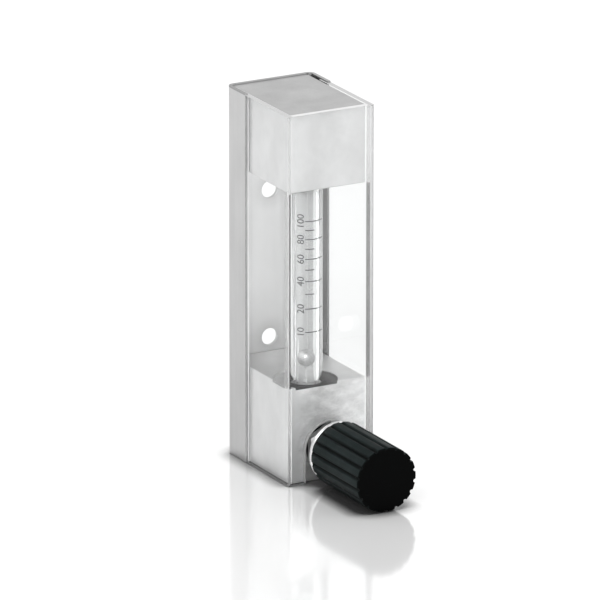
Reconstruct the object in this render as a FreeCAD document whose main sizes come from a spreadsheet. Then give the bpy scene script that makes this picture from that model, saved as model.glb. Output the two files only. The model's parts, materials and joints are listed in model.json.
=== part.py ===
import FreeCAD, Part

import math
import os
import re

import Sketcher

# Small glass-tube flow meter with a needle valve at its inlet. It stands on its base: X to the
# right, -Y towards the knob, +Z up, with the origin in the middle of the housing's footprint.

# Driving dimensions in millimetres: name, value, meaning.
SIZES = [
    # Housing
    ("body_width", 28.0, "width over the cover and the channel"),
    ("body_depth", 37.0, "depth from the cover's front to the channel's back"),
    ("body_height", 111.0, "height of the rear channel"),
    ("top_step", 0.4, "blocks and cover end this far below the channel"),
    ("slide_gap", 0.1, "clearance of the cover on the blocks and in the channel"),
    ("channel_wall", 1.0, "sheet thickness of the rear channel"),
    ("channel_bend", 2.0, "outer bend radius of the rear channel"),
    ("channel_flange", 11.2, "depth of the channel's flanges"),
    ("cover_wall", 1.7, "wall of the clear cover"),
    ("cover_corner", 0.4, "rounding of the cover's front corners"),
    ("cover_tongue", 4.0, "length of the cover's tongue inside the flange"),
    ("cover_slot_radius", 8.2, "half width and top radius of the slot round the valve"),
    # Blocks
    ("base_height", 29.0, "height of the lower block"),
    ("head_height", 23.4, "height of the upper block"),
    ("block_bevel", 0.3, "bevel of the blocks' outer edges"),
    ("port_radius", 4.285, "wall radius of the threaded ports"),
    ("port_depth", 8.0, "length of the ports' thread"),
    ("port_face_radius", 7.25, "hole in the channel round each port"),
    ("head_port_rise", 12.2, "height of the outlet above the upper block's foot"),
    ("passage_radius", 2.0, "radius of the passages behind the ports"),
    ("riser_radius", 1.5, "radius of the passages below and above the tube"),
    # Screws and fixing holes in the channel
    ("screw_side", 8.8, "block screws to either side of the middle"),
    ("screw_base_rise", 22.5, "height of the lower pair of block screws"),
    ("screw_head_drop", 3.6, "distance of the upper pair from the upper block's top"),
    ("screw_head_radius", 2.9, "countersunk head"),
    ("screw_head_cone", 1.6, "height of the countersunk head"),
    ("screw_radius", 1.5, "shank of the block screws"),
    ("screw_length", 8.0, "length of the block screws"),
    ("screw_socket_radius", 1.0, "hexagon socket, as its inscribed circle"),
    ("screw_socket_depth", 1.1, "depth of the socket"),
    ("fixing_radius", 2.5, "fixing holes in the channel"),
    ("fixing_spacing", 44.5, "distance between the fixing holes"),
    # Measuring tube
    ("tube_inset", 10.2, "tube axis to the right of the housing's left side"),
    ("tube_setback", 8.0, "tube axis behind the cover's front"),
    ("tube_radius", 4.7, "outer radius of the glass tube"),
    ("tube_entry", 3.0, "depth of each tube end inside its block"),
    ("tube_bevel", 0.3, "ground edge of the tube's ends"),
    ("bore_foot_radius", 2.8, "radius of the bore at its lower end"),
    ("bore_head_radius", 3.2, "radius of the bore at its upper end"),
    ("fit_gap", 0.05, "radial clearance of pieces that are fitted together"),
    ("gasket_wall", 0.4, "thickness of the gaskets under the tube's ends"),
    ("seat_floor", 1.8, "floor of the seats under the gaskets"),
    ("seat_boss_radius", 5.6, "outer radius of the seats inside the blocks"),
    ("seat_pad_radius", 9.1, "radius of the lower seat's pad"),
    ("seat_pad_wall", 0.6, "thickness of the lower seat's pad"),
    ("seat_pocket", 0.8, "depth of the pocket that holds the pad"),
    ("seat_mouth", 0.5, "bevel at the mouth of the seats"),
    # Float
    ("ball_radius", 2.55, "radius of the ball"),
    ("ball_rise", 6.6, "height of the resting ball's centre above the lower block"),
    ("ball_gap", 0.1, "gap between the ball and its lower stop"),
    ("stop_collar_wall", 0.9, "wall of the stops' collars"),
    ("stop_collar", 2.2, "length of the stops' collars"),
    ("stop_fin_wall", 0.7, "thickness of the stops' fins"),
    ("stop_fins", 3, "number of fins on each stop"),
    ("head_stop_drop", 3.0, "upper stop's tip below the upper block"),
    # Needle valve, measured outwards from the lower block's front
    ("valve_height", 9.7, "height of the valve axis"),
    ("stem_radius", 5.4, "bonnet's stem in the block"),
    ("stem_length", 4.7, "length of the bonnet's stem"),
    ("washer_radius", 7.0, "outer radius of the bonnet's washer"),
    ("washer_wall", 0.5, "thickness of the bonnet's washer"),
    ("hex_radius", 7.85, "corner radius of the bonnet's hexagon"),
    ("hex_height", 2.5, "height of the hexagon"),
    ("neck_radius", 5.0, "radius of the bonnet's neck"),
    ("neck_length", 4.0, "length of the neck in front of the hexagon"),
    ("collar_radius", 8.8, "outer radius of the ring on the neck"),
    ("collar_wall", 1.3, "thickness of the ring"),
    ("collar_step", 0.6, "step in the neck that the ring sits on"),
    ("chamber_radius", 4.5, "radius of the valve chamber"),
    ("chamber_depth", 13.0, "depth of the chamber's floor"),
    ("orifice_seat_radius", 3.5, "bore for the orifice insert"),
    ("orifice_seat_length", 4.0, "length of the orifice insert"),
    ("orifice_radius", 1.2, "radius of the orifice"),
    ("orifice_bevel", 0.8, "countersink in front of the orifice"),
    ("needle_gap", 0.1, "gap round the closed needle"),
    ("needle_length", 2.5, "length of the needle's taper"),
    ("needle_tip_radius", 0.3, "radius of the needle's tip"),
    ("spindle_radius", 2.5, "radius of the spindle"),
    ("shoulder_radius", 3.6, "shoulder that keeps the spindle in"),
    ("shoulder_wall", 1.4, "thickness of the shoulder"),
    ("piston_radius", 3.0, "sealed part of the spindle"),
    ("piston_length", 3.4, "length of the sealed part"),
    ("piston_lead", 0.5, "sealed part stands this far behind the closed bonnet"),
    ("piston_bore_length", 5.7, "length of the sealed bore in the bonnet"),
    ("ring_wire_radius", 0.62, "section radius of the spindle's sealing ring"),
    ("ring_groove", 1.4, "width of the groove for the sealing ring"),
    ("valve_stroke", 2.5, "travel of the spindle from closed to open"),
    ("stop_gap", 0.2, "room left between the shoulder and the bonnet when open"),
    # Knob
    ("knob_gap", 0.6, "gap between the ring and the closed knob"),
    ("knob_radius", 9.6, "outer radius of the knob"),
    ("knob_length", 27.4, "length of the knob"),
    ("knob_edge", 0.3, "rounding of the knob's front edge"),
    ("knob_recess_radius", 7.4, "recess in the back of the knob"),
    ("knob_recess", 2.0, "depth of the recess"),
    ("flute_count", 18, "number of flutes"),
    ("flute_radius", 0.6, "radius of the flutes"),
    ("flute_depth", 0.7, "depth of the flutes"),
    ("insert_radius", 4.0, "outer radius of the metal insert"),
    ("insert_length", 12.8, "length of the insert"),
    ("insert_lead", 1.0, "insert stands this far into the recess"),
    ("shank_radius", 2.0, "end of the spindle inside the insert"),
    ("shank_length", 12.0, "length of that end"),
    ("grub_radius", 1.45, "radius of the grub screw"),
    ("grub_length", 5.0, "length of the grub screw"),
    ("grub_rise", 5.5, "grub screw behind the floor of the recess"),
    ("grub_socket_radius", 0.8, "socket of the grub screw"),
]

# Places that several pieces share, as formulas of the driving dimensions.
BLOCK_HALF_WIDTH = "(body_width / 2 - cover_wall - slide_gap)"
BLOCK_FRONT = "(cover_wall + slide_gap - body_depth / 2)"
BLOCK_REAR = "(body_depth / 2 - channel_wall)"
BLOCK_TOP = "(body_height - top_step)"
HEAD_FOOT = "(body_height - top_step - head_height)"
TUBE_X = "(tube_inset - body_width / 2)"
TUBE_Y = "(tube_setback - body_depth / 2)"
SEAT_DEPTH = "(tube_entry + gasket_wall + seat_floor)"
HEX_FRONT = "(washer_wall + hex_height)"
NECK_FRONT = "(washer_wall + hex_height + neck_length)"
KNOB_REAR = "(washer_wall + hex_height + neck_length + knob_gap)"
KNOB_FLOOR = "(washer_wall + hex_height + neck_length + knob_gap + knob_recess)"
SHOULDER_FRONT = "(-stem_length - valve_stroke - stop_gap)"
HEAD_SLOPE = "((screw_head_radius - screw_radius) / screw_head_cone)"
HEAD_AT_SHEET = f"screw_head_radius + fit_gap - channel_wall * {HEAD_SLOPE}"

doc = FreeCAD.newDocument("flow_meter")
sheet = doc.addObject("Spreadsheet::Sheet", "sizes")
for row, (alias, number, meaning) in enumerate(SIZES, start=1):
    sheet.set(f"A{row}", alias)
    sheet.set(f"B{row}", str(number))
    sheet.set(f"C{row}", meaning)
    sheet.setAlias(f"B{row}", alias)
doc.recompute()

nodes = []


def formula(text):
    """Turn a formula of size names into an expression on the sheet."""
    return re.sub(r"[a-z][a-z_]+", lambda name: "sizes." + name.group(), text)


def bind(feature, name, text):
    """Tie a property of a feature to a formula of the sizes."""
    feature.setExpression(name, formula(text))


def put(piece, x, y, z, rotation=FreeCAD.Rotation()):
    """Place a piece, with its base point tied to the sizes."""
    piece.Placement = FreeCAD.Placement(FreeCAD.Vector(0, 0, 0), rotation)
    bind(piece, "Placement.Base.x", x)
    bind(piece, "Placement.Base.y", y)
    bind(piece, "Placement.Base.z", z)


def new_body(label, x="0", y="0", z="0", rotation=FreeCAD.Rotation()):
    """Start the body of one piece and put it on the list of pieces."""
    body = doc.addObject("PartDesign::Body", label)
    body.Label = label
    put(body, x, y, z, rotation)
    nodes.append(body)
    return body


def valve_body(label):
    """Start a piece of the valve: its own +Z runs out of the lower block's front, to the user."""
    return new_body(label, "0", BLOCK_FRONT, "valve_height", FreeCAD.Rotation(FreeCAD.Vector(1, 0, 0), 90))


def sketch_on(body, name, role, lift="0"):
    """Start a sketch on one of the body's own planes, lifted along the plane's normal."""
    sketch = body.newObject("Sketcher::SketchObject", f"{body.Label}_{name}")
    plane = next(item for item in body.Origin.OriginFeatures if item.Role == role)
    sketch.AttachmentSupport = (plane, [""])
    sketch.MapMode = "FlatFace"
    bind(sketch, "AttachmentOffset.Base.z", lift)
    return sketch


def pin_point(sketch, edge, point, x, y):
    """Hold one point of a sketch at formulas for its two coordinates."""
    for kind, axis, text in (("DistanceX", -2, x), ("DistanceY", -1, y)):
        if text == "0":
            sketch.addConstraint(Sketcher.Constraint("PointOnObject", edge, point, axis))
        else:
            index = sketch.addConstraint(Sketcher.Constraint(kind, -1, 1, edge, point, 1.0))
            bind(sketch, f"Constraints[{index}]", text)


def add_outline(sketch, corners):
    """Draw a closed outline of straight lines through corners given as formulas."""
    count = len(corners)
    angles = [2 * math.pi * index / count for index in range(count)]
    rough = [FreeCAD.Vector(math.cos(angle), math.sin(angle), 0) for angle in angles]
    first = sketch.GeometryCount
    for index in range(count):
        sketch.addGeometry(Part.LineSegment(rough[index], rough[(index + 1) % count]), False)
    for index in range(count):
        following = first + (index + 1) % count
        sketch.addConstraint(Sketcher.Constraint("Coincident", first + index, 2, following, 1))
    for index, (x, y) in enumerate(corners):
        pin_point(sketch, first + index, 1, x, y)


def add_rectangle(sketch, left, bottom, right, top):
    """Draw a rectangle between formulas for its sides."""
    add_outline(sketch, [(left, bottom), (right, bottom), (right, top), (left, top)])


def add_circle(sketch, x, y, radius):
    """Draw a circle with formulas for its centre and radius."""
    circle = Part.Circle(FreeCAD.Vector(1, 1, 0), FreeCAD.Vector(0, 0, 1), 1.0)
    edge = sketch.addGeometry(circle, False)
    index = sketch.addConstraint(Sketcher.Constraint("Radius", edge, 1.0))
    bind(sketch, f"Constraints[{index}]", radius)
    pin_point(sketch, edge, 3, x, y)


def extrude(body, kind, name, sketch, length, reverse=False, always=True):
    """Pad or pocket a sketch, and check the volume: a cut that always bites has to remove some."""
    doc.recompute()
    before = body.Shape.Volume if body.Tip else 0.0
    feature = body.newObject(f"PartDesign::{kind}", f"{body.Label}_{name}")
    feature.Profile = sketch
    feature.Reversed = reverse
    bind(feature, "Length", length)
    doc.recompute()
    change = (body.Shape.Volume - before) * (1 if kind == "Pad" else -1)
    if change < (1e-6 if always else -1e-6):
        raise ValueError(f"{feature.Name} changes the volume by {change}")
    return feature


def turn(body, kind, name, corners):
    """Revolve an outline of (radius, height) corners about the body's own Z axis."""
    sketch = sketch_on(body, name + "_profile", "XZ_Plane")
    add_outline(sketch, corners)
    feature = body.newObject(f"PartDesign::{kind}", f"{body.Label}_{name}")
    feature.Profile = sketch
    feature.ReferenceAxis = (sketch, ["V_Axis"])
    feature.Angle = 360.0
    doc.recompute()
    return feature


def drill(body, name, role, lift, x, y, radius, depth, reverse=False):
    """Cut a round hole from a plane of the body, against the plane's normal unless reversed."""
    sketch = sketch_on(body, name + "_circle", role, lift)
    add_circle(sketch, x, y, radius)
    return extrude(body, "Pocket", name, sketch, depth, reverse)


def polar(body, name, feature, sketch, count):
    """Repeat a feature round the normal of its sketch."""
    pattern = body.newObject("PartDesign::PolarPattern", f"{body.Label}_{name}")
    pattern.Originals = [feature]
    pattern.Axis = (sketch, ["N_Axis"])
    pattern.Angle = 360.0
    bind(pattern, "Occurrences", count)
    body.Tip = pattern
    doc.recompute()
    return pattern


def upright_edges(feature, side):
    """Name the feature's straight edges along Z, picked by a test of their place."""
    names = []
    for number, edge in enumerate(feature.Shape.Edges, start=1):
        start, end = edge.Vertexes[0].Point, edge.Vertexes[-1].Point
        upright = abs(start.x - end.x) < 1e-6 and abs(start.y - end.y) < 1e-6
        if upright and side(start):
            names.append(f"Edge{number}")
    return names


def round_edges(body, name, feature, edges, radius, kind="Fillet"):
    """Round or bevel edges of the last feature."""
    dressing = body.newObject(f"PartDesign::{kind}", f"{body.Label}_{name}")
    dressing.Base = (feature, edges)
    bind(dressing, "Radius" if kind == "Fillet" else "Size", radius)
    doc.recompute()
    return dressing


def size(alias):
    """Read one driving dimension from the sheet."""
    return float(sheet.get(alias))


def countersink(body, name, plane, x, z, radius, depth):
    """Cut a cone from the rear with the slope of the block screws' heads."""
    cut = drill(body, name, "XZ_Plane", f"-{plane}", x, z, radius, depth, reverse=True)
    cut.setExpression("TaperAngle", f"-atan({formula(HEAD_SLOPE)})")
    doc.recompute()


def make_rear_channel():
    """Bent sheet channel: the backbone that both blocks are screwed to."""
    body = new_body("rear_channel")
    outline = sketch_on(body, "outline", "XY_Plane")
    half, inner = "body_width / 2", "(body_width / 2 - channel_wall)"
    rear, flange = "body_depth / 2", "(body_depth / 2 - channel_flange)"
    add_outline(outline, [
        (f"-{half}", rear), (f"-{half}", flange), (f"-{inner}", flange), (f"-{inner}", BLOCK_REAR),
        (inner, BLOCK_REAR), (inner, flange), (half, flange), (half, rear),
    ])
    pad = extrude(body, "Pad", "sheet", outline, "body_height")
    edge = size("body_width") / 2
    outer = upright_edges(pad, lambda point: point.y > size("body_depth") / 2 - 1e-6)
    bend = round_edges(body, "outer_bend", pad, outer, "channel_bend")
    corner = size("body_depth") / 2 - size("channel_wall")
    inside = upright_edges(bend, lambda p: abs(p.y - corner) < 1e-6 and abs(p.x) < edge - 1e-6)
    round_edges(body, "inner_bend", bend, inside, "channel_bend - channel_wall")
    middle = "body_height / 2"
    holes = [
        ("inlet_hole", "0", "valve_height", "port_face_radius"),
        ("outlet_hole", "0", f"{HEAD_FOOT} + head_port_rise", "port_face_radius"),
        ("lower_fixing", "0", f"{middle} - fixing_spacing / 2", "fixing_radius"),
        ("upper_fixing", "0", f"{middle} + fixing_spacing / 2", "fixing_radius"),
    ]
    for name, x, z, radius in holes:
        drill(body, name, "XZ_Plane", "-body_depth / 2", x, z, radius, "channel_wall", reverse=True)
    for name, x, z in SCREWS:
        countersink(body, name, "body_depth / 2", x, z, "screw_head_radius + fit_gap", "channel_wall")
    return body


# The four block screws: name, side and height.
SCREWS = [
    (f"{row}_{side}_screw", f"{sign}screw_side", height)
    for row, height in (("base", "screw_base_rise"), ("head", f"({BLOCK_TOP} - screw_head_drop)"))
    for side, sign in (("left", "-"), ("right", ""))
]


def start_block(label, z, height):
    """Machined block as wide and deep as the cover and the channel leave room for."""
    body = new_body(label, z=z)
    outline = sketch_on(body, "outline", "XY_Plane")
    add_rectangle(outline, f"-{BLOCK_HALF_WIDTH}", BLOCK_FRONT, BLOCK_HALF_WIDTH, BLOCK_REAR)
    block = extrude(body, "Pad", "block", outline, height)
    edges = [f"Edge{number}" for number in range(1, len(block.Shape.Edges) + 1)]
    round_edges(body, "bevel", block, edges, "block_bevel", "Chamfer")
    return body


def drill_from_rear(body, name, x, z, radius, depth, start=BLOCK_REAR):
    """Cut a round hole into a block from the rear, starting at a depth plane."""
    return drill(body, name, "XZ_Plane", f"-{start}", x, z, radius, depth, reverse=True)


def drill_screw_hole(body, name, x, z):
    """Cut the hole of one block screw, with the cone that takes the tip of its head."""
    drill_from_rear(body, name, x, z, "screw_radius + fit_gap", "screw_length")
    countersink(body, name + "_cone", BLOCK_REAR, x, z, HEAD_AT_SHEET, "screw_head_cone - channel_wall")


def make_base_block():
    """Lower block: inlet port, orifice seat, valve chamber, riser and tube seat."""
    body = start_block("base_block", "0", "base_height")
    front = f"-{BLOCK_FRONT}"
    axis = ("0", "valve_height")
    drill(body, "stem_bore", "XZ_Plane", front, *axis, "stem_radius + fit_gap", "stem_length")
    drill(body, "chamber", "XZ_Plane", front, *axis, "chamber_radius", "chamber_depth")
    drill(body, "orifice_bore", "XZ_Plane", front, *axis, "orifice_seat_radius + fit_gap",
          "chamber_depth + orifice_seat_length")
    drill(body, "inlet_passage", "XZ_Plane", front, *axis, "passage_radius",
          f"{BLOCK_REAR} - {BLOCK_FRONT} - port_depth / 2")
    drill_from_rear(body, "inlet_port", *axis, "port_radius", "port_depth")
    drill(body, "seat_pocket", "XY_Plane", "base_height", TUBE_X, TUBE_Y,
          "seat_pad_radius + fit_gap", "seat_pocket")
    drill(body, "seat_bore", "XY_Plane", "base_height", TUBE_X, TUBE_Y,
          "seat_boss_radius + fit_gap", SEAT_DEPTH)
    drill(body, "riser", "XY_Plane", "base_height", TUBE_X, TUBE_Y, "riser_radius",
          "base_height - valve_height")
    for name, x, z in SCREWS[:2]:
        drill_screw_hole(body, name, x, z)
    return body


def make_head_block():
    """Upper block: tube seat, riser, crossing passage and outlet port."""
    body = start_block("head_block", HEAD_FOOT, "head_height")
    drill(body, "seat_bore", "XY_Plane", "0", TUBE_X, TUBE_Y, "seat_boss_radius + fit_gap",
          SEAT_DEPTH, reverse=True)
    drill(body, "riser", "XY_Plane", "0", TUBE_X, TUBE_Y, "riser_radius", "head_port_rise", reverse=True)
    drill_from_rear(body, "passage", f"{TUBE_X} / 2", "head_port_rise", "passage_radius",
                    f"{BLOCK_REAR} - {TUBE_Y}")
    drill_from_rear(body, "outlet_port", "0", "head_port_rise", "port_radius", "port_depth")
    for name, x, z in SCREWS[2:]:
        drill_screw_hole(body, name, x, f"{z} - {HEAD_FOOT}")
    return body


def make_front_cover():
    """Clear U-shaped cover: slides down over both blocks, its tongues inside the channel."""
    body = new_body("front_cover")
    half, inner = "body_width / 2", "(body_width / 2 - cover_wall)"
    tongue = "(body_width / 2 - channel_wall - slide_gap)"
    front = "-body_depth / 2"
    back = "(body_depth / 2 - channel_flange - slide_gap)"
    end = "(body_depth / 2 - channel_flange - slide_gap + cover_tongue)"
    outline = sketch_on(body, "outline", "XY_Plane")
    add_outline(outline, [
        (f"-{half}", front), (half, front), (half, back), (tongue, back), (tongue, end), (inner, end),
        (inner, f"{front} + cover_wall"), (f"-{inner}", f"{front} + cover_wall"), (f"-{inner}", end),
        (f"-{tongue}", end), (f"-{tongue}", back), (f"-{half}", back),
    ])
    pad = extrude(body, "Pad", "wall", outline, BLOCK_TOP)
    corners = upright_edges(pad, lambda point: point.y < 1e-6 - size("body_depth") / 2)
    round_edges(body, "corners", pad, corners, "cover_corner")
    drill(body, "slot_top", "XZ_Plane", "body_depth / 2", "0", "valve_height", "cover_slot_radius",
          "cover_wall + slide_gap")
    slot = sketch_on(body, "slot", "XZ_Plane", "body_depth / 2")
    add_rectangle(slot, "-cover_slot_radius", "-body_height / 2", "cover_slot_radius", "valve_height")
    extrude(body, "Pocket", "slot_sides", slot, "cover_wall + slide_gap")
    return body


def make_glass_tube():
    """Glass measuring tube with a bore that widens upwards."""
    body = new_body("glass_tube", TUBE_X, TUBE_Y, "base_height - tube_entry")
    length = f"({HEAD_FOOT} - base_height + 2 * tube_entry)"
    turn(body, "Revolution", "wall", [
        ("bore_foot_radius", "0"), ("tube_radius - tube_bevel", "0"), ("tube_radius", "tube_bevel"),
        ("tube_radius", f"{length} - tube_bevel"), ("tube_radius - tube_bevel", length),
        ("bore_head_radius", length),
    ])
    return body


def make_lower_tube_seat():
    """Black seat let into the lower block; its pad is cut off flush with the block's sides."""
    body = new_body("lower_tube_seat", TUBE_X, TUBE_Y, "base_height")
    pad_top = "(seat_pad_wall - seat_pocket)"
    socket = "(tube_radius + fit_gap)"
    turn(body, "Revolution", "seat", [
        ("riser_radius", f"-{SEAT_DEPTH}"), ("seat_boss_radius", f"-{SEAT_DEPTH}"),
        ("seat_boss_radius", "-seat_pocket"), ("seat_pad_radius", "-seat_pocket"),
        ("seat_pad_radius", pad_top), (f"{socket} + seat_mouth", pad_top),
        (socket, f"{pad_top} - seat_mouth"), (socket, "-tube_entry - gasket_wall"),
        ("riser_radius", "-tube_entry - gasket_wall"),
    ])
    reach = "2 * seat_pad_radius"
    trims = [
        ("front_trim", f"-{reach}", f"-{reach}", reach, f"{BLOCK_FRONT} - {TUBE_Y} + fit_gap"),
        ("side_trim", f"-{reach}", f"-{reach}", f"-{BLOCK_HALF_WIDTH} - {TUBE_X} + fit_gap", reach),
    ]
    for name, left, bottom, right, top in trims:
        sketch = sketch_on(body, name + "_outline", "XY_Plane")
        add_rectangle(sketch, left, bottom, right, top)
        extrude(body, "Pocket", name, sketch, "seat_pocket", always=False)
    return body


def make_upper_tube_seat():
    """Black seat inside the upper block."""
    body = new_body("upper_tube_seat", TUBE_X, TUBE_Y, HEAD_FOOT)
    socket = "(tube_radius + fit_gap)"
    turn(body, "Revolution", "seat", [
        (f"{socket} + seat_mouth", "0"), ("seat_boss_radius", "0"), ("seat_boss_radius", SEAT_DEPTH),
        ("riser_radius", SEAT_DEPTH), ("riser_radius", "tube_entry + gasket_wall"),
        (socket, "tube_entry + gasket_wall"), (socket, "seat_mouth"),
    ])
    return body


def make_gasket(label, z, bore):
    """Flat ring between one end of the tube and the floor of its seat."""
    body = new_body(label, TUBE_X, TUBE_Y, z)
    turn(body, "Revolution", "ring", [
        (bore, "0"), ("tube_radius", "0"), ("tube_radius", "gasket_wall"), (bore, "gasket_wall"),
    ])
    return body


def make_float_stop(label, z, outer, length, flip):
    """Collar in the tube's bore with fins that meet the ball and let the flow past."""
    rotation = FreeCAD.Rotation(FreeCAD.Vector(1, 0, 0), 180 if flip else 0)
    body = new_body(label, TUBE_X, TUBE_Y, z, rotation)
    turn(body, "Revolution", "collar", [
        (f"{outer} - stop_collar_wall", "0"), (outer, "0"), (outer, "stop_collar"),
        (f"{outer} - stop_collar_wall", "stop_collar"),
    ])
    fin = sketch_on(body, "fin_outline", "XY_Plane")
    reach = f"({outer} - stop_collar_wall / 2)"
    add_rectangle(fin, "0", "-stop_fin_wall / 2", reach, "stop_fin_wall / 2")
    blade = extrude(body, "Pad", "fin", fin, length)
    polar(body, "fins", blade, fin, "stop_fins")
    return body


def make_float_stops():
    """Lower and upper stop of the ball."""
    foot = "(base_height - tube_entry + tube_bevel)"
    make_float_stop("lower_float_stop", foot, "(bore_foot_radius - fit_gap)",
                    f"base_height + ball_rise - ball_radius - ball_gap - {foot}", flip=False)
    head = f"({HEAD_FOOT} + tube_entry - tube_bevel)"
    make_float_stop("upper_float_stop", head, "(bore_head_radius - fit_gap - tube_bevel / 2)",
                    "tube_entry - tube_bevel + head_stop_drop", flip=True)


def make_float_ball():
    """Ball that the flow lifts in the tube."""
    ball = doc.addObject("Part::Sphere", "float_ball")
    ball.Label = "float_ball"
    bind(ball, "Radius", "ball_radius")
    put(ball, TUBE_X, TUBE_Y, "base_height + ball_rise")
    nodes.append(ball)


def make_valve_seat():
    """Orifice insert at the end of the valve chamber."""
    body = valve_body("valve_seat")
    top = "(-chamber_depth)"
    foot = "(-chamber_depth - orifice_seat_length)"
    turn(body, "Revolution", "insert", [
        ("orifice_radius", foot), ("orifice_seat_radius", foot), ("orifice_seat_radius", top),
        ("orifice_radius + orifice_bevel", top), ("orifice_radius", f"{top} - orifice_bevel"),
    ])
    return body


def make_bonnet():
    """Hexagon bonnet that screws into the lower block and guides the spindle."""
    body = valve_body("valve_bonnet")
    step = f"({NECK_FRONT} - collar_wall)"
    turn(body, "Revolution", "barrel", [
        ("0", "-stem_length"), ("stem_radius", "-stem_length"), ("stem_radius", "washer_wall"),
        ("neck_radius", "washer_wall"), ("neck_radius", step), ("neck_radius - collar_step", step),
        ("neck_radius - collar_step", NECK_FRONT), ("0", NECK_FRONT),
    ])
    hexagon = sketch_on(body, "hexagon", "XY_Plane", "washer_wall")
    corners = [math.radians(90 + 60 * index) for index in range(6)]
    add_outline(hexagon, [
        (f"hex_radius * {math.cos(angle):.9f}", f"hex_radius * {math.sin(angle):.9f}") for angle in corners
    ])
    extrude(body, "Pad", "hex", hexagon, "hex_height")
    flat = f"hex_radius * {math.cos(math.radians(30)):.9f}"
    drop = f"(2 * hex_radius - {flat}) * {math.tan(math.radians(30)):.9f}"
    turn(body, "Groove", "corners", [
        (flat, HEX_FRONT), (flat, f"{HEX_FRONT} + neck_length"),
        ("2 * hex_radius", f"{HEX_FRONT} + neck_length"), ("2 * hex_radius", f"{HEX_FRONT} - {drop}"),
    ])
    drill(body, "spindle_bore", "XY_Plane", NECK_FRONT, "0", "0", "spindle_radius + fit_gap",
          f"{NECK_FRONT} + stem_length")
    drill(body, "piston_bore", "XY_Plane", "-stem_length", "0", "0", "piston_radius + 2 * fit_gap",
          "piston_bore_length", reverse=True)
    return body


def make_bonnet_washer():
    """Flat sealing ring under the bonnet's hexagon."""
    body = valve_body("bonnet_washer")
    turn(body, "Revolution", "ring", [
        ("stem_radius + fit_gap", "0"), ("washer_radius", "0"), ("washer_radius", "washer_wall"),
        ("stem_radius + fit_gap", "washer_wall"),
    ])
    return body


def make_bonnet_collar():
    """Polished ring on the bonnet's neck, behind the knob."""
    body = valve_body("bonnet_collar")
    rear = f"({NECK_FRONT} - collar_wall)"
    bevel = "collar_wall / 4"
    bore = "(neck_radius - collar_step + fit_gap)"
    turn(body, "Revolution", "ring", [
        (bore, rear), (f"collar_radius - {bevel}", rear), ("collar_radius", f"{rear} + {bevel}"),
        ("collar_radius", f"{NECK_FRONT} - {bevel}"), (f"collar_radius - {bevel}", NECK_FRONT),
        (bore, NECK_FRONT),
    ])
    return body


def make_spindle():
    """Spindle with needle, shoulder, sealed piston and the shank that carries the knob."""
    body = valve_body("valve_spindle")
    seat = "(-chamber_depth)"
    needle = "(orifice_radius - needle_gap)"
    flank = f"({seat} - orifice_bevel + needle_gap / 2)"
    guide = "(orifice_radius + orifice_bevel - needle_gap)"
    shoulder = f"({SHOULDER_FRONT} - shoulder_wall)"
    piston = "(-stem_length - piston_lead)"
    middle = f"({piston} + piston_length / 2)"
    groove = "(piston_radius - 2 * ring_wire_radius)"
    shank = f"({KNOB_FLOOR} - insert_lead - stop_gap)"
    turn(body, "Revolution", "shaft", [
        ("0", f"{flank} - needle_length"), ("needle_tip_radius", f"{flank} - needle_length"),
        (needle, flank), (guide, f"{flank} + orifice_bevel"), (guide, shoulder),
        ("shoulder_radius", shoulder), ("shoulder_radius", SHOULDER_FRONT),
        ("spindle_radius", SHOULDER_FRONT), ("spindle_radius", piston), ("piston_radius", piston),
        ("piston_radius", f"{middle} - ring_groove / 2"), (groove, f"{middle} - ring_groove / 2"),
        (groove, f"{middle} + ring_groove / 2"), ("piston_radius", f"{middle} + ring_groove / 2"),
        ("piston_radius", f"{piston} + piston_length"), ("spindle_radius", f"{piston} + piston_length"),
        ("spindle_radius", shank), ("shank_radius", shank), ("shank_radius", f"{shank} + shank_length"),
        ("0", f"{shank} + shank_length"),
    ])
    ring = doc.addObject("Part::Torus", "spindle_ring")
    ring.Label = "spindle_ring"
    bind(ring, "Radius1", "piston_radius - ring_wire_radius + fit_gap")
    bind(ring, "Radius2", "ring_wire_radius")
    rotation = FreeCAD.Rotation(FreeCAD.Vector(1, 0, 0), 90)
    put(ring, "0", f"{BLOCK_FRONT} - {middle}", "valve_height", rotation)
    nodes.append(ring)
    return body


def make_knob():
    """Fluted knob moulded round a metal insert."""
    body = valve_body("knob")
    disc = sketch_on(body, "disc", "XY_Plane", KNOB_REAR)
    add_circle(disc, "0", "0", "knob_radius")
    blank = extrude(body, "Pad", "blank", disc, "knob_length")
    front = max(range(len(blank.Shape.Edges)), key=lambda index: blank.Shape.Edges[index].CenterOfMass.z)
    round_edges(body, "front_edge", blank, [f"Edge{front + 1}"], "knob_edge")
    drill(body, "recess", "XY_Plane", KNOB_REAR, "0", "0", "knob_recess_radius", "knob_recess",
          reverse=True)
    drill(body, "insert_bore", "XY_Plane", KNOB_FLOOR, "0", "0", "insert_radius + fit_gap",
          "insert_length - insert_lead", reverse=True)
    flute = sketch_on(body, "flute_circle", "XY_Plane", KNOB_REAR)
    add_circle(flute, "0", "knob_radius - flute_depth + flute_radius", "flute_radius")
    groove = extrude(body, "Pocket", "flute", flute, "knob_length", reverse=True)
    polar(body, "flutes", groove, flute, "flute_count")
    drill(body, "grub_hole", "XZ_Plane", "insert_radius / 2", "0", f"{KNOB_FLOOR} + grub_rise",
          "grub_radius + fit_gap", "knob_radius", reverse=True)
    return body


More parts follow.
